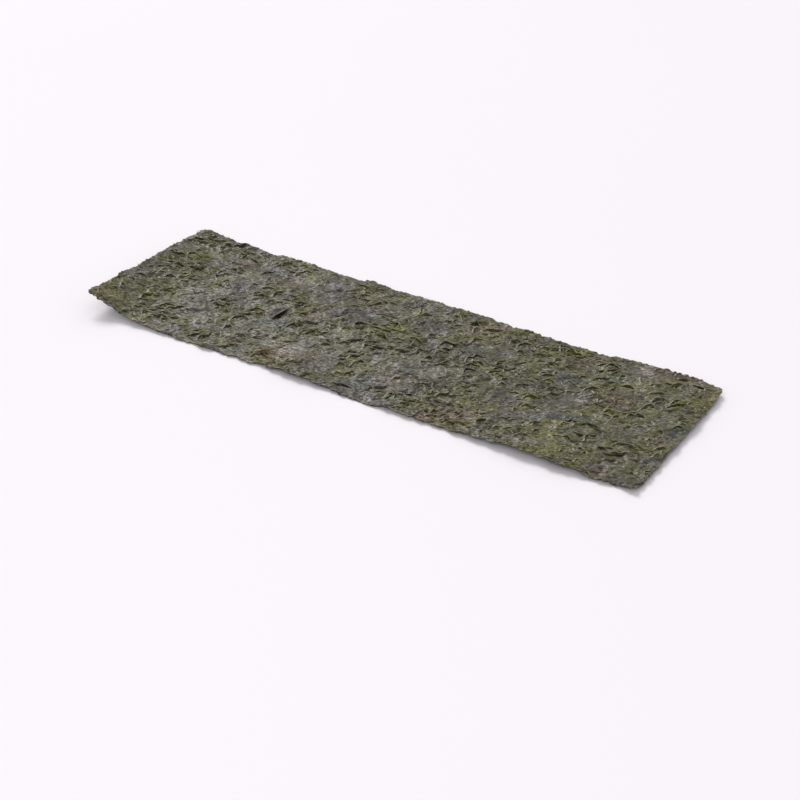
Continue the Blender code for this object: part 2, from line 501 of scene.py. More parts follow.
# %% [markdown]
# ## Fine folds and mottling
#
# Between the wrinkles the skin is finely creased, and its colour is mottled. Painting
# each crease would take too long, so layers of swells, stretched along the grain, stand
# in for them. A layer that is folded over at its middle height gives sharp creases. The
# broad form belongs to the solid, so the relief is first levelled over a few millimetres.

# %% Add the folds and finish the maps
LEVELLING = 4.0 * MM
ROUND_FOLDS = ((0.022, 0.07, 31, 2.2), (0.022, 0.30, 32, 1.6))
SHARP_FOLDS = ((-0.044, 0.09, 30, 3.0), (-0.028, 0.25, 29, 2.5))
LOW_BUMPS = ((0.065, 0.8, 33, 1.5),)
CREASING = 1.05
CREASING_OF_CROWDS = 0.20
CREASING_LIMITS = (0.8, 1.4)


def finished(painted, middle, weight, crowds, layers):
    """A map from its middle value, what the brushes painted, the crowding and some swells."""
    return middle + weight * painted + crowds * crowding + layered(layers)


relief -= blurred(relief, LEVELLING)
folds = layered(ROUND_FOLDS) + layered(SHARP_FOLDS, sharp=True)
creasing = np.clip(CREASING + CREASING_OF_CROWDS * crowding, *CREASING_LIMITS)
relief += (creasing * folds + layered(LOW_BUMPS)) * MM
hue = finished(
    hue, middle=0.41, weight=0.14, crowds=0.06,
    layers=((0.09, 0.5, 34, 1.6), (0.07, 0.12, 28, 3.0), (0.05, 0.9, 27, 1.4)),
)
film = np.clip(finished(
    film, middle=0.42, weight=0.20, crowds=-0.03,
    layers=((0.06, 0.7, 26, 1.6), (0.03, 2.2, 25, 1.3)),
), 0, 1)
shade = finished(
    shade, middle=0.5, weight=0.10, crowds=0.05,
    layers=((0.08, 0.4, 35, 1.8), (0.08, 0.08, 36, 3.5), (0.10, 0.8, 39, 1.5), (0.12, 2.4, 40, 1.3)),
)
warmth = 0.15 + layered(((0.95, 0.8, 37, 2.0), (0.4, 0.15, 38, 3.0)))
print("relief spread, mm:", round(float(relief.std()) / MM, 3))

# %% [markdown]
# ## The thin spot
#
# Here and there the pulp didn't close. One such spot shows clearly: a dark slit across
# the strip, with a flap of film that lifts along one side and shades it. A hole through
# the skin would break its closed body, so the slit is a deep pit in the relief, with its
# floor painted almost black as shade. The flap is one more wrinkle, with measures of its own.

# %% Cut the slit
SLIT_HALF_WIDTH = 0.50 * MM
SLIT_DEPTH = 0.30 * MM
SLIT_RAGS = 0.12
SLIT_WINDOW = 2.0
PIT_EDGE = 1.25
PIT_SOFTNESS = 0.5
FLAP_OFFSET = 0.70 * MM


def slit_flap():
    """The film that lifts along one side of the slit and shades it."""
    flap = Wrinkle(1.0)
    flap.x, flap.y = SLIT_PLACE[0] - FLAP_OFFSET, SLIT_PLACE[1]
    flap.turn = SLIT_TURN
    flap.half_length = 1.1 * SLIT_HALF_LENGTH
    flap.bend = -0.08 / flap.half_length
    flap.swing = 0.04 * MM
    flap.scalloped = False
    flap.height = 0.22 * MM
    flap.gentle = 0.55 * MM
    flap.steep = 0.12 * MM
    flap.gap = 0.34 * MM
    flap.gap_depth = 1.0
    flap.overhang = 0.34 * MM
    flap.curl = 0.10 * MM
    # The flap gets almost no painted highlight.
    flap.highlight_strength = -0.3
    flap.greenness = -0.6
    return flap


def cut_slit():
    """A narrow pit with slightly ragged sides."""
    rows, columns, offset_x, offset_y = window(*SLIT_PLACE, SLIT_WINDOW * SLIT_HALF_LENGTH)
    along, across = turned(offset_x, offset_y, SLIT_TURN)
    ring = np.hypot(along / SLIT_HALF_LENGTH, across / SLIT_HALF_WIDTH)
    ring += SLIT_RAGS * outline_noise[rows, columns]
    pit = np.clip((PIT_EDGE - ring) / PIT_SOFTNESS, 0, 1)
    relief[rows, columns] -= SLIT_DEPTH * pit
    # The slit's floor is painted almost black as shade.
    gap_shade[rows, columns] = np.maximum(gap_shade[rows, columns], pit)
    return pit


flap = slit_flap()
paint_wrinkle(flap)
wrinkles.append(flap)
slit = cut_slit()
print("slit covers, square mm:", round(float(slit.sum()) * (CELL / MM) ** 2, 1))

# %% [markdown]
# ## The outline
#
# The strip was cut from a brittle sheet, so its edges are chipped. The solid has the
# broad chips already. Its points tell how far out each edge reaches at each place, and
# finer chips, with a few deeper bites, are then taken off. A saw-tooth texture at the
# edge would be simpler, but it wouldn't cast a shadow or show from the side.

# %% Outline of the solid
EDGE_STEP = 1.1 * MM
EDGE_LOOK = 0.6 * EDGE_STEP
CHIP_DEPTH = 0.30 * MM
# Spacing, rarity and depth of the fine chips and of the deeper bites.
CHIP_KINDS = ((0.28 * MM, 1.5, 0.9), (1.3 * MM, 3, 1.1))
solid_points = np.empty(len(strip.data.vertices) * 3)
strip.data.vertices.foreach_get("co", solid_points)
solid_points = solid_points.reshape(-1, 3)


def edge_line(run_axis, side):
    """Places along one cut edge and how far out the solid reaches there."""
    run, out = solid_points[:, run_axis], solid_points[:, 1 - run_axis] * side
    places = np.arange(run.min() + EDGE_STEP / 2, run.max(), EDGE_STEP)
    reach = [out[np.abs(run - place) < EDGE_LOOK].max() for place in places]
    return places, np.array(reach) * side


def chips(run, seed):
    """Fine inward chips along a cut edge, with a few deeper bites."""
    random = np.random.default_rng(seed)
    total = 0.0
    for spacing, rarity, weight in CHIP_KINDS:
        places = np.arange(run.min(), run.max(), spacing)
        depths = random.uniform(0, 1, len(places)) ** rarity
        total = total + weight * np.interp(run, places, depths)
    return CHIP_DEPTH * total


print("points of the solid:", len(solid_points))

# %% Grid of the skin
CELLS_LONG = 680
CELLS_WIDE = 184
EDGE_POWER = 26  # the higher, the sooner the chips' shift fades inwards


def strip_grid():
    """X and Y of each point of the upper grid, out to the chipped outline."""
    across = np.linspace(0, 1, CELLS_WIDE + 1)[:, None]
    along = np.linspace(0, 1, CELLS_LONG + 1)[None, :]
    x_line = solid_low[0] + along * (solid_high[0] - solid_low[0])
    y_line = solid_low[1] + across * (solid_high[1] - solid_low[1])
    left = np.interp(y_line, *edge_line(1, -1)) + chips(y_line, seed=41)
    right = np.interp(y_line, *edge_line(1, 1)) - chips(y_line, seed=42)
    near = np.interp(x_line, *edge_line(0, -1)) + chips(x_line, seed=43)
    far = np.interp(x_line, *edge_line(0, 1)) - chips(x_line, seed=44)
    x = x_line + (left - solid_low[0]) * (1 - along) ** EDGE_POWER
    x = x + (right - solid_high[0]) * along ** EDGE_POWER
    y = y_line + (near - solid_low[1]) * (1 - across) ** EDGE_POWER
    y = y + (far - solid_high[1]) * across ** EDGE_POWER
    return x, y


grid_x, grid_y = strip_grid()
print("points of the upper grid:", grid_x.size)

# %% [markdown]
# ## Heights of both faces
#
# The upper face is the solid's form with the relief on it. The lower face was pressed on
# the mat, so it is nearly smooth: only the mat's ribs and some shallow bumps show. Both
# are clipped against each other, so that no crease cuts through the skin, and towards
# the cut edges the lower face rises, because the real edge is as thin as paper.

# %% Heights of the skin
TOP_SINK = 0.04 * MM
HEADROOM = 0.08 * MM
TALLEST = solid_high[2] + HEADROOM
LEAST_THICKNESS = 0.09 * MM
RIM_THICKNESS = 0.12 * MM
RIM_REACH = 1.2 * MM
RIB_SPACING = 2.5 * MM
RIB_HEIGHT = 0.012 * MM
RIB_WANDER = 0.15 * MM
PRESSED_BUMPS = 0.035 * MM
PRESSED_MIDDLE = 0.5
PRESSED_LAYERS = ((0.3, 0.35, 45, 1.6),)
rib_place = raster_x[None, :] + RIB_WANDER * wander_noise
ribs = RIB_HEIGHT * np.abs(np.sin(math.pi * rib_place / RIB_SPACING))
pressed = PRESSED_BUMPS * np.clip(PRESSED_MIDDLE + layered(PRESSED_LAYERS), 0, 1)
lower_map = np.maximum(lower_form, 0.0) + ribs + pressed
top_map = np.clip(upper_form + relief - TOP_SINK, lower_map + LEAST_THICKNESS, TALLEST)
inset = np.minimum(
    np.minimum(grid_x - grid_x[:, :1], grid_x[:, -1:] - grid_x),
    np.minimum(grid_y - grid_y[:1], grid_y[-1:] - grid_y),
)
thinning = np.clip(1 - inset / RIM_REACH, 0, 1) ** 2
lower_z = read_map(lower_map, grid_x, grid_y)
upper_z = read_map(top_map, grid_x, grid_y)
lower_z += np.maximum(upper_z - RIM_THICKNESS - lower_z, 0) * thinning
print("highest point of the skin, mm:", round(float(upper_z.max()) / MM, 2))

# %% [markdown]
# ## One closed skin
#
# The upper face gets a dense grid, and the smooth lower face one with half as many cells
# along each side. A ring of faces joins their borders, so the skin is one closed body. A
# displacement modifier could raise the same relief, but a mesh that is made point by
# point can also carry the other maps, which the materials read further on.

# %% Faces of a closed body
def grid_faces(numbers, upwards):
    """Four-sided faces over a grid of point numbers."""
    corners = [numbers[:-1, :-1], numbers[:-1, 1:], numbers[1:, 1:], numbers[1:, :-1]]
    if not upwards:
        corners.reverse()
    return np.stack([corner.ravel() for corner in corners], axis=1).tolist()


def border(numbers):
    """Point numbers round the border of a grid, once round, anticlockwise from above."""
    return np.concatenate([
        numbers[0, :-1], numbers[:-1, -1], numbers[-1, :0:-1], numbers[:0:-1, 0]
    ])


def rim_faces(upper_ring, lower_ring):
    """Faces between an upper border and a lower one with a whole fraction of its points."""
    ratio = len(upper_ring) // len(lower_ring)
    faces = []
    for index in range(len(lower_ring)):
        low, low_next = lower_ring[index], lower_ring[(index + 1) % len(lower_ring)]
        tops = [upper_ring[(ratio * index + step) % len(upper_ring)] for step in range(ratio + 1)]
        faces.append([low, low_next] + tops[::-1])
    return faces


print("points round the border:", 2 * (CELLS_LONG + CELLS_WIDE))

# %% Build the skin
LOWER_STEP = 2
SKIN_CREASE = 75
# Reach and depth of the narrow low places that get painted shade.
CREVICE_REACH = 0.35 * MM
CREVICE_DEPTH = 0.10 * MM
RIM_LIGHT_REACH = 0.35 * MM
RIM_LIGHT = 0.35
RIM_UNEVENNESS = 0.5
CREST_LIGHT = 0.8
finish_maps = {"hue": hue, "shade": shade, "film": film, "warmth": warmth}


def keep_values(mesh, name, values):
    """Store one number for each point of a mesh."""
    attribute = mesh.attributes.new(name, "FLOAT", "POINT")
    attribute.data.foreach_set("value", np.asarray(values, dtype=np.float32).ravel())


def new_piece(name, points, faces, crease):
    """A mesh object that rides the strip and shows in place of the solid one."""
    mesh = bpy.data.meshes.new(name)
    mesh.from_pydata(points.tolist(), [], faces)
    mesh.update()
    mesh.shade_smooth()
    mesh.set_sharp_from_angle(angle=math.radians(crease))
    piece = bpy.data.objects.new(name, mesh)
    bpy.context.scene.collection.objects.link(piece)
    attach(piece, "root")
    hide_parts("nori_sheet")
    return piece


def crevice_shade_map():
    """1 in the narrow low places of the relief and in the gaps, 0 elsewhere: where shade is painted.
    """
    low = np.clip((blurred(relief, CREVICE_REACH) - relief) / CREVICE_DEPTH, 0, 1)
    return np.clip(np.maximum(low, gap_shade), 0, 1)


def build_skin():
    """The closed skin of the strip, with its maps kept as point attributes."""
    coarse = (slice(None, None, LOWER_STEP), slice(None, None, LOWER_STEP))
    upper = np.stack([grid_x, grid_y, upper_z], axis=-1).reshape(-1, 3)
    lower = np.stack([grid_x[coarse], grid_y[coarse], lower_z[coarse]], axis=-1).reshape(-1, 3)
    upper_numbers = np.arange(len(upper)).reshape(grid_x.shape)
    lower_numbers = len(upper) + np.arange(len(lower)).reshape(grid_x[coarse].shape)
    faces = grid_faces(upper_numbers, True) + grid_faces(lower_numbers, False)
    faces += rim_faces(border(upper_numbers), border(lower_numbers))
    skin = new_piece("nori_skin", np.concatenate([upper, lower]), faces, SKIN_CREASE)
    # The crevice map is stored with the others: it carries the painted shade.
    for name, field in [*finish_maps.items(), ("crevice", crevice_shade_map())]:
        values = read_map(field, grid_x, grid_y)
        keep_values(skin.data, name, np.concatenate([values.ravel(), values[coarse].ravel()]))
    below = np.concatenate([np.zeros(len(upper)), np.ones(len(lower))])
    keep_values(skin.data, "below", below)
    # A pale band along the cut edges and the pale crest lines are painted highlight, kept in the lip
    # map.
    uneven = RIM_LIGHT + RIM_UNEVENNESS * read_map(outline_noise, grid_x, grid_y)
    rim_highlight = np.clip(1 - inset / RIM_LIGHT_REACH, 0, 1) * np.clip(uneven, 0, 1)
    lip = np.maximum(rim_highlight, CREST_LIGHT * read_map(crest_light, grid_x, grid_y))
    keep_values(skin.data, "lip", np.concatenate([lip.ravel(), rim_highlight[coarse].ravel()]))
    return skin


skin = build_skin()
print("faces of the skin:", len(skin.data.polygons))

# %% [markdown]
# ## Lips
#
# Along the steep side of a wrinkle the weed parts from the skin, and its margin stands
# out as a thin lip over a dark gap. A height map can't overhang, so each lip is a closed
# ribbon of its own, no thicker than the weed. It is rooted in the skin behind the crest,
# reaches over the steep side and curls up a little at its ragged free edge.

# %% Shape of a lip
SCRAP_RISE = 0.012 * MM
ROOT_SINK = 0.03 * MM
END_SINK = 1.5 * ROOT_SINK
LIP_SPAN = 0.97
LIP_RAGS = 0.30
LIP_RAGS_LIMITS = (0.4, 1.7)
LIP_OVER_STEEP = 0.3
LIP_OVER_GENTLE = 0.5
LIP_REACH_LIMIT = 1.5


def lip_surface(wrinkle, steps, rows):
    """Upper points of one lip, as a grid of steps along it by rows across it."""
    run = np.linspace(-LIP_SPAN, LIP_SPAN, steps + 1) * wrinkle.half_length
    line = wrinkle.middle_line(run)
    slope = np.gradient(line, run)
    length = np.hypot(1, slope)
    taper = wrinkle.taper(run)
    ragged = np.clip(1 + LIP_RAGS * dice.standard_normal(steps + 1), *LIP_RAGS_LIMITS)
    free = -wrinkle.overhang * taper ** 0.5 * ragged - LIP_OVER_STEEP * wrinkle.steep
    root = LIP_OVER_GENTLE * wrinkle.gentle
    part = np.linspace(0, 1, rows + 1)[None, :]
    out = root + (free[:, None] - root) * part
    along = run[:, None] - out * (slope / length)[:, None]
    across = line[:, None] + out * (1 / length)[:, None]
    x, y = wrinkle.place(along, across)
    ground = read_map(top_map, x, y)
    crest = read_map(top_map, *wrinkle.place(run, line))
    crest = (np.roll(crest, 1) + crest + np.roll(crest, -1)) / 3
    crest[0], crest[-1] = ground[0].min(), ground[-1].min()
    beyond = np.clip(-out / wrinkle.overhang, 0, LIP_REACH_LIMIT)
    hanging = crest[:, None] + wrinkle.curl * beyond ** 2 * taper[:, None]
    blend = np.clip(out / root, 0, 1)
    z = ground * blend + hanging * (1 - blend) + SCRAP_RISE
    z -= ROOT_SINK * (part == 0) + END_SINK * (1 - taper[:, None]) ** 3
    return x, y, z, np.broadcast_to(part, x.shape)


LONG_WRINKLE = 0.70 * MM
long_wrinkles = [item for item in wrinkles if item.half_length > LONG_WRINKLE]
print("wrinkles with a lip:", len(long_wrinkles))

# %% Build the lips
SCRAP_THICKNESS = 0.035 * MM
ROOT_THICKNESS = 1.3
SCRAP_DEPTH = 0.06 * MM
LEAST_SCRAP = 0.01 * MM
SCRAP_MARGIN = 0.15 * MM
SCRAP_CREASE = 50
SCRAP_HUE = 0.03
# The painted highlight on a lip or sliver comes and goes in this many patches along it.
HIGHLIGHT_PATCHES = 7
PATCH_STRENGTH = 0.5


def inside_strip(x, y):
    """Whether all the given places lie within the strip's outline."""
    left, right = solid_low[0] + 2 * SCRAP_MARGIN, solid_high[0] - 2 * SCRAP_MARGIN
    near = np.interp(x, grid_x[0], grid_y[0]) + SCRAP_MARGIN
    far = np.interp(x, grid_x[-1], grid_y[-1]) - SCRAP_MARGIN
    return x.min() > left and x.max() < right and (y > near).all() and (y < far).all()


def build_scraps(name, chosen, surface, steps, rows, uneven_shade):
    """All the lips or slivers of one kind, as one mesh of closed ribbons."""
    points, faces, values = [], [], {key: [] for key in (*finish_maps, "lip")}
    numbers = np.arange((steps + 1) * (rows + 1)).reshape(steps + 1, rows + 1)
    low_numbers = numbers + numbers.size
    template = np.array(
        grid_faces(numbers, True) + grid_faces(low_numbers, False)
        + rim_faces(border(numbers), border(low_numbers))
    )
    patch_places = np.linspace(0, steps, HIGHLIGHT_PATCHES)
    for scrap in chosen:
        x, y, z, part = surface(scrap, steps, rows)
        if not inside_strip(x, y):
            continue
        deepest = read_map(top_map, x, y) - SCRAP_DEPTH
        z = np.clip(z, deepest + LEAST_SCRAP, TALLEST)
        lower = np.maximum(z - SCRAP_THICKNESS * (ROOT_THICKNESS - part), deepest)
        faces += (template + len(points) * numbers.size).tolist()
        points.append(np.stack([x, y, z], axis=-1).reshape(-1, 3))
        points.append(np.stack([x, y, lower], axis=-1).reshape(-1, 3))
        readings = {key: read_map(field, x, y) for key, field in finish_maps.items()}
        readings["hue"] += SCRAP_HUE
        readings["shade"] += uneven_shade * dice.standard_normal()
        # The lip map of a scrap is painted highlight: on a lip it grows towards the free margin, on
        # a sliver it covers the whole sliver, and it comes and goes in patches.
        patches = dice.standard_normal(HIGHLIGHT_PATCHES)
        patches = PATCH_STRENGTH * np.interp(np.arange(steps + 1), patch_places, patches)
        readings["lip"] = part * np.clip(scrap.highlight_strength + patches[:, None], 0, 1)
        for key, reading in readings.items():
            values[key] += [reading.ravel(), reading.ravel()]
    piece = new_piece(name, np.concatenate(points), faces, SCRAP_CREASE)
    for key, blocks in values.items():
        keep_values(piece.data, key, np.concatenate(blocks))
    print(name + ":", len(piece.data.polygons), "faces")
    return piece


lips = build_scraps(
    "lifted_lips", long_wrinkles, lip_surface, steps=14, rows=3, uneven_shade=0.12,
)

# %% [markdown]
# ## Slivers
#
# Fine slivers of weed cling to the skin, most of them where it is crowded. They are too
# thin to model as solids and too crisp for a texture, so they are ribbons as well: short
# ones that follow the height map, with one side lifted. They are drawn like wrinkles,
# because they bend and turn in the same way, and get narrower measures.

# %% Build the slivers
SLIVERS = 10700
SLIVER_HALF_LENGTHS = (0.25, 0.75)  # in mm, like the widths
SLIVER_HALF_WIDTHS = (0.05, 0.10)
SLIVER_BENDS = (-0.3, 0.2)
SLIVER_CURLS = (-0.1, 0.7)
# How strong the painted highlight on a sliver is; below 0 it gets none.
SLIVER_HIGHLIGHT_STRENGTHS = (-0.5, 1.0)
SLIVER_TURN_SPREAD = 0.4
SLIVER_TIP = 0.15
SLIVER_CROWDED_ENOUGH = (-2.2, 1.3)


def new_sliver():
    """A short thin sliver of weed."""
    sliver = Wrinkle(0.0)
    sliver.half_length = dice.uniform(*SLIVER_HALF_LENGTHS) * MM
    sliver.bend = dice.uniform(*SLIVER_BENDS) / sliver.half_length
    sliver.turn += SLIVER_TURN_SPREAD * dice.standard_normal()
    sliver.half_width = dice.uniform(*SLIVER_HALF_WIDTHS) * MM
    sliver.curl = dice.uniform(*SLIVER_CURLS) * sliver.half_width
    sliver.highlight_strength = dice.uniform(*SLIVER_HIGHLIGHT_STRENGTHS)
    return sliver


def sliver_surface(sliver, steps, rows):
    """Upper points of one sliver that clings to the skin, as a grid like a lip's."""
    run = np.linspace(-1, 1, steps + 1) * sliver.half_length
    taper = sliver.taper(run)
    width = sliver.half_width * (SLIVER_TIP + (1 - SLIVER_TIP) * taper)
    side = np.linspace(-1, 1, rows + 1)[None, :]
    across = (sliver.bend * run ** 2)[:, None] + width[:, None] * side
    x, y = sliver.place(np.broadcast_to(run[:, None], across.shape), across)
    z = read_map(top_map, x, y) + (SCRAP_RISE - sliver.curl * side) * taper[:, None]
    return x, y, z, np.ones(x.shape)


every_sliver = [new_sliver() for count in range(SLIVERS)]
kept_slivers = [
    item for item in every_sliver
    if dice.uniform(*SLIVER_CROWDED_ENOUGH) < read_map(crowding, item.x, item.y)
]
slivers = build_scraps(
    "thin_slivers", kept_slivers, sliver_surface, steps=4, rows=1, uneven_shade=0.30,
)

# %% [markdown]
# ## The finish of dried weed
#
# Dried weed is dark, with green, olive and violet casts. What makes it look grey in a
# bright room is its own shine: a thin, uneven film of oil mirrors the pale surroundings.
# A grey base colour would look as dull from every side, so the base colours stay dark,
# and a clear coat over them stands in for the oil. One node group mixes the weed's
# colours from the stored maps. A second gives the fine grain of all three materials.

# %% Helpers for nodes
WHOLE = (0.0, 1.0)


def new_group(name, inputs, outputs):
    """An empty shader group with named inputs (name, kind, value) and outputs."""
    group = bpy.data.node_groups.new(name, "ShaderNodeTree")
    for label, kind, value in inputs:
        socket = group.interface.new_socket(label, in_out="INPUT", socket_type=kind)
        socket.default_value = value
    for label, kind in outputs:
        group.interface.new_socket(label, in_out="OUTPUT", socket_type=kind)
    return group, group.nodes.new("NodeGroupInput"), group.nodes.new("NodeGroupOutput")


def add_node(tree, kind, links=None, **settings):
    """Add a node, set its properties, and feed its inputs by value or by socket."""
    node = tree.nodes.new(kind)
    for name, value in settings.items():
        setattr(node, name, value)
    for key, value in (links or {}).items():
        if isinstance(value, bpy.types.NodeSocket):
            tree.links.new(value, node.inputs[key])
        else:
            node.inputs[key].default_value = value
    return node


def math_node(tree, operation, first, second=0.0):
    """One sum, product or other step on one or two values."""
    return add_node(tree, "ShaderNodeMath", {0: first, 1: second}, operation=operation).outputs[0]


def spread(tree, value, source, target):
    """Turn one range of a value into another, held at both ends."""
    return add_node(tree, "ShaderNodeMapRange", {
        "Value": value, "From Min": source[0], "From Max": source[1],
        "To Min": target[0], "To Max": target[1],
    }).outputs["Result"]


def mix_colour(tree, part, first, second):
    """Mix two colours by a part from 0 to 1."""
    node = add_node(tree, "ShaderNodeMix", data_type="RGBA")
    for key, value in (("Factor", part), ("A", first), ("B", second)):
        socket = next(item for item in node.inputs if item.name == key and item.enabled)
        if isinstance(value, bpy.types.NodeSocket):
            tree.links.new(value, socket)
        else:
            socket.default_value = value
    return next(item for item in node.outputs if item.enabled)


stored = [item.name for item in skin.data.attributes if item.data_type == "FLOAT"]
print("maps on the skin:", stored)

# %% [markdown]
# ## Colours of the weed
#
# Dried weed runs from grey violet over olive to yellow green. A ramp over the hue map
# gives these, and rosy and slate casts come in patches. The shade map and the grain's
# speckles make it lighter and darker. After that comes a painted highlight, from the lip
# map, on the lips' margins, the slivers, thin crest lines and the cut edges. Painted
# shade, almost black, from the crevice map comes last, in the gaps under the lips, in
# narrow creases and in the slit. A painted picture could do the same, but one group of
# nodes serves all three pieces and stays sharp from close by.

# %% The colour group
VIOLET_WEED = (0.077, 0.066, 0.054, 1)
GREY_WEED = (0.091, 0.082, 0.047, 1)
OLIVE_WEED = (0.108, 0.103, 0.038, 1)
YELLOW_WEED = (0.133, 0.127, 0.034, 1)
ROSY_WEED = (0.119, 0.085, 0.058, 1)
SLATE_WEED = (0.062, 0.068, 0.058, 1)
# The colour of the painted highlight.
PAINTED_HIGHLIGHT_COLOUR = (0.270, 0.258, 0.165, 1)
# The colour of the painted shade in gaps, creases and the slit.
CREVICE_SHADE = (0.013, 0.012, 0.003, 1)
HUE_STOPS = ((0.12, VIOLET_WEED), (0.42, GREY_WEED), (0.70, OLIVE_WEED), (0.98, YELLOW_WEED))
ROSY_WARMTH = (1.0, 2.2)
SLATE_WARMTH = (-1.0, -2.2)
CAST_PART = (0.0, 0.8)
SHADE_RANGE = (0.0, 1.2)
SHADE_LIGHT = (0.50, 1.65)
SPECKLE_RANGE = (0.35, 0.65)
SPECKLE_LIGHT = (0.5, 1.5)
# How the lip map turns into painted highlight, and the crevice map into painted shade.
HIGHLIGHT_RANGE = (0.25, 0.85)
HIGHLIGHT_PART = (0.0, 0.9)
LIP_LIGHT = 1.8
HIGHLIGHT_PALENESS = 0.7
CREVICE_SHADE_RANGE = (0.25, 0.95)
CREVICE_SHADE_PART = (0.0, 0.9)


def hue_ramp(group, hue_socket):
    """The ramp from violet to yellow."""
    ramp = add_node(group, "ShaderNodeValToRGB", {"Fac": hue_socket})
    bar = ramp.color_ramp
    bar.elements[0].position, bar.elements[0].color = HUE_STOPS[0]
    bar.elements[1].position, bar.elements[1].color = HUE_STOPS[-1]
    for position, colour in HUE_STOPS[1:-1]:
        bar.elements.new(position).color = colour
    return ramp.outputs["Color"]


def scaled_colour(group, colour, strength):
    """A colour made lighter or darker."""
    return add_node(
        group, "ShaderNodeVectorMath", {0: colour, "Scale": strength}, operation="SCALE"
    ).outputs[0]


def weed_colour_group():
    """Weed colour from the hue, warmth and shade maps, with painted highlight from the lip map and
    painted shade from the crevice map.
    """
    group, given, result = new_group(
        "weed_colour",
        [
            ("Hue", "NodeSocketFloat", 0.5),
            ("Warmth", "NodeSocketFloat", 0.0),
            ("Shade", "NodeSocketFloat", 0.5),
            ("Crevice", "NodeSocketFloat", 0.0),
            ("Lip", "NodeSocketFloat", 0.0),
            ("Speckle", "NodeSocketFloat", 0.5),
        ],
        [("Color", "NodeSocketColor")],
    )
    rosy = spread(group, given.outputs["Warmth"], ROSY_WARMTH, CAST_PART)
    slate = spread(group, given.outputs["Warmth"], SLATE_WARMTH, CAST_PART)
    cast = mix_colour(group, rosy, hue_ramp(group, given.outputs["Hue"]), ROSY_WEED)
    cast = mix_colour(group, slate, cast, SLATE_WEED)
    light = spread(group, given.outputs["Shade"], SHADE_RANGE, SHADE_LIGHT)
    speckle = spread(group, given.outputs["Speckle"], SPECKLE_RANGE, SPECKLE_LIGHT)
    plain = scaled_colour(group, cast, math_node(group, "MULTIPLY", light, speckle))
    # Painted highlight: a brighter, paler cast where the lip map is high.
    highlight_cast = scaled_colour(group, cast, LIP_LIGHT)
    highlight_colour = mix_colour(group, HIGHLIGHT_PALENESS, highlight_cast, PAINTED_HIGHLIGHT_COLOUR)
    pale = spread(group, given.outputs["Lip"], HIGHLIGHT_RANGE, HIGHLIGHT_PART)
    highlighted = mix_colour(group, pale, plain, highlight_colour)
    # Painted shade: almost black where the crevice map is high.
    painted_shade_part = spread(group, given.outputs["Crevice"], CREVICE_SHADE_RANGE, CREVICE_SHADE_PART)
    final = mix_colour(group, painted_shade_part, highlighted, CREVICE_SHADE)
    group.links.new(final, result.inputs["Color"])
    return group


weed_colour = weed_colour_group()
print(weed_colour.name, "has", len(weed_colour.nodes), "nodes")

# %% [markdown]
# ## The fine grain
#
# Under a lens, dried weed is a felt of tiny grains and creases, drawn out along the
# grain. It is finer than the mesh, so noise textures make it. One output speckles the
# colour and beads the oil, and the other feeds a bump. Both lie in the object's own
# space in real sizes, so each material only has to say how coarse its grain is.

# %% The grain group
GRAIN_SIZE = 0.25 * MM
CREASE_SIZE = 0.60 * MM
GRAIN_STRETCH = (0.35, 1.0, 1.0)
GRAIN_HEIGHT = 0.5
CREASE_HEIGHT = 1.5
NOISE_MIDDLE = 0.5


def fine_grain_group():
    """Speckle and height of the weed's fine grain, in the object's own space."""
    group, given, result = new_group(
        "fine_grain",
        [
            ("Grain Size", "NodeSocketFloat", GRAIN_SIZE),
            ("Crease Size", "NodeSocketFloat", CREASE_SIZE),
        ],
        [("Speckle", "NodeSocketFloat"), ("Height", "NodeSocketFloat")],
    )
    place = add_node(group, "ShaderNodeTexCoord").outputs["Object"]
    drawn = add_node(group, "ShaderNodeMapping", {
        "Vector": place, "Scale": GRAIN_STRETCH, "Rotation": (0.0, 0.0, -GRAIN_TURN),
    }).outputs["Vector"]
    grain_scale = math_node(group, "DIVIDE", 1.0, given.outputs["Grain Size"])
    crease_scale = math_node(group, "DIVIDE", 1.0, given.outputs["Crease Size"])
    grain = add_node(group, "ShaderNodeTexNoise", {
        "Vector": drawn, "Scale": grain_scale, "Detail": 3.0, "Roughness": 0.6,
    }).outputs["Fac"]
    crease = add_node(group, "ShaderNodeTexNoise", {
        "Vector": drawn, "Scale": crease_scale, "Detail": 2.0, "Roughness": 0.5,
        "Distortion": 0.6,
    }).outputs["Fac"]
    folded = math_node(group, "ABSOLUTE", math_node(group, "SUBTRACT", crease, NOISE_MIDDLE))
    raised = math_node(group, "MULTIPLY", grain, GRAIN_HEIGHT)
    sunk = math_node(group, "MULTIPLY", folded, CREASE_HEIGHT)
    height = math_node(group, "SUBTRACT", raised, sunk)
    group.links.new(grain, result.inputs["Speckle"])
    group.links.new(height, result.inputs["Height"])
    return group


fine_grain = fine_grain_group()
print(fine_grain.name, "has", len(fine_grain.nodes), "nodes")

# %% [markdown]
# ## Oil and shine
#
# The oil is a clear coat, thicker where the film map is high and broken into fine beads
# by the speckle. The weed under it is dull, and duller where the film is thin. The lower
# face was pressed on the mat: it is darker, smoother and evenly oiled. Lips and slivers
# use the same nodes, with a finer grain and the little extra shine of their margins.

# %% The weed's materials
PRESSED_DARK = (0.009, 0.011, 0.006, 1)
PRESSED_GREEN = (0.038, 0.042, 0.016, 1)
PRESSED_ROUGHNESS = 0.35
PRESSED_OIL = 0.35
FILM_ROUGHNESS = (0.62, 0.40)
FILM_OIL = (0.10, 0.50)
OIL_BEADS = (0.2, 1.8)
OIL_ROUGHNESS = 0.34


def read_attribute(tree, name):
    """A stored map of the mesh."""
    return add_node(tree, "ShaderNodeAttribute", attribute_name=name).outputs["Fac"]


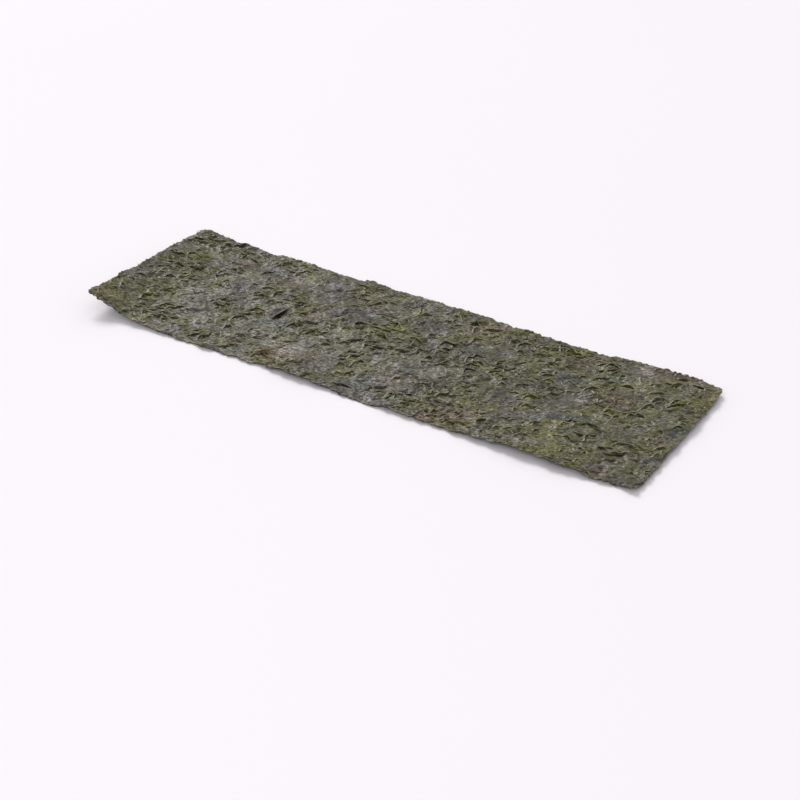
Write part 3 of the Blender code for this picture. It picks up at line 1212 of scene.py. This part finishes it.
def weed_material(name, grain_size, bump_height, dullness, shine):
    """Dark oily weed: colours from the maps, a satin shine and a fine grain."""
    material = bpy.data.materials.new(name)
    material.use_nodes = True
    tree = material.node_tree
    shader = tree.nodes["Principled BSDF"]
    grain = add_node(tree, "ShaderNodeGroup", node_tree=fine_grain)
    grain.inputs["Grain Size"].default_value = grain_size
    colour = add_node(tree, "ShaderNodeGroup", node_tree=weed_colour)
    for label in ("Hue", "Warmth", "Shade", "Crevice", "Lip"):
        tree.links.new(read_attribute(tree, label.lower()), colour.inputs[label])
    tree.links.new(grain.outputs["Speckle"], colour.inputs["Speckle"])
    below = read_attribute(tree, "below")
    pressed = mix_colour(tree, read_attribute(tree, "hue"), PRESSED_DARK, PRESSED_GREEN)
    base = mix_colour(tree, below, colour.outputs["Color"], pressed)
    tree.links.new(base, shader.inputs["Base Color"])
    film = read_attribute(tree, "film")
    rough = spread(tree, film, WHOLE, [value * dullness for value in FILM_ROUGHNESS])
    rough = spread(tree, below, WHOLE, (rough, PRESSED_ROUGHNESS))
    tree.links.new(rough, shader.inputs["Roughness"])
    oil = spread(tree, film, WHOLE, FILM_OIL)
    beads = spread(tree, grain.outputs["Speckle"], SPECKLE_RANGE, OIL_BEADS)
    oil = math_node(tree, "MULTIPLY", oil, beads)
    oil = spread(tree, below, WHOLE, (oil, PRESSED_OIL))
    tree.links.new(oil, shader.inputs["Coat Weight"])
    bump = add_node(tree, "ShaderNodeBump", {
        "Height": grain.outputs["Height"], "Distance": bump_height, "Strength": 1.0,
    })
    tree.links.new(bump.outputs["Normal"], shader.inputs["Normal"])
    shader.inputs["Coat Roughness"].default_value = OIL_ROUGHNESS
    shader.inputs["Specular IOR Level"].default_value = shine
    return material


skin.data.materials.append(weed_material(
    "toasted_weed", grain_size=0.20 * MM, bump_height=0.22 * MM, dullness=1.0, shine=0.06,
))
lips.data.materials.append(weed_material(
    "lifted_weed", grain_size=0.18 * MM, bump_height=0.02 * MM, dullness=0.9, shine=0.15,
))
slivers.data.materials.append(weed_material(
    "loose_weed", grain_size=0.15 * MM, bump_height=0.02 * MM, dullness=0.9, shine=0.15,
))
print("materials:", [piece.data.materials[0].name for piece in (skin, lips, slivers)])

# %% [markdown]
# ## Table and light
#
# A product photograph on white needs a broad floor and a bright backdrop. The backdrop is
# a large glowing panel behind the strip, which the oil mirrors. A smaller soft box to the
# left lights the floor, and a weak lamp in front softens the shadows. The near side stays
# dimmer, so that the gaps under the lips go dark.

# %% Floor, surroundings and lights
FLOOR_SIZE = 4.0
FLOOR_DROP = 0.02 * MM
FLOOR_COLOUR = (0.865, 0.83, 0.855, 1)
FLOOR_ROUGHNESS = (0.75, 0.85)
FLOOR_UNEVENNESS = 30.0
ROOM_COLOUR = (0.97, 0.965, 1.0, 1)
ROOM_LIGHT = 0.50


def floor_material():
    """A plain pale finish, with a very faint unevenness in its roughness."""
    material = bpy.data.materials.new("pale_floor")
    material.use_nodes = True
    tree = material.node_tree
    shader = tree.nodes["Principled BSDF"]
    shader.inputs["Base Color"].default_value = FLOOR_COLOUR
    noise = add_node(tree, "ShaderNodeTexNoise", {"Scale": FLOOR_UNEVENNESS})
    rough = spread(tree, noise.outputs["Fac"], WHOLE, FLOOR_ROUGHNESS)
    tree.links.new(rough, shader.inputs["Roughness"])
    return material


def lay_floor():
    """A broad pale floor just under the strip."""
    bpy.ops.mesh.primitive_plane_add(size=FLOOR_SIZE, location=(0, 0, -FLOOR_DROP))
    floor = bpy.context.object
    floor.name = "floor"
    floor.data.materials.append(floor_material())


def hang_light(name, place, width, height, power):
    """A soft box that faces the strip."""
    data = bpy.data.lights.new(name, "AREA")
    data.shape = "RECTANGLE"
    data.size = width
    data.size_y = height
    data.energy = power
    light = bpy.data.objects.new(name, data)
    light.location = place
    light.rotation_euler = Vector(place).to_track_quat("Z", "Y").to_euler()
    bpy.context.scene.collection.objects.link(light)


def light_room():
    """The soft light that comes from all around."""
    world = bpy.data.worlds.new("studio")
    world.use_nodes = True
    background = world.node_tree.nodes["Background"]
    background.inputs["Color"].default_value = ROOM_COLOUR
    background.inputs["Strength"].default_value = ROOM_LIGHT
    bpy.context.scene.world = world


lay_floor()
hang_light("backdrop", (-1.80, 3.96, 2.64), width=7.2, height=4.3, power=80.0)
hang_light("soft_box", (-2.52, 2.28, 2.76), width=1.65, height=1.65, power=113.0)
hang_light("front_fill", (0.05, -0.60, 0.50), width=0.4, height=0.4, power=1.3)
light_room()
bpy.context.scene.view_settings.view_transform = "Standard"
print("lights:", [light.name for light in bpy.data.lights])
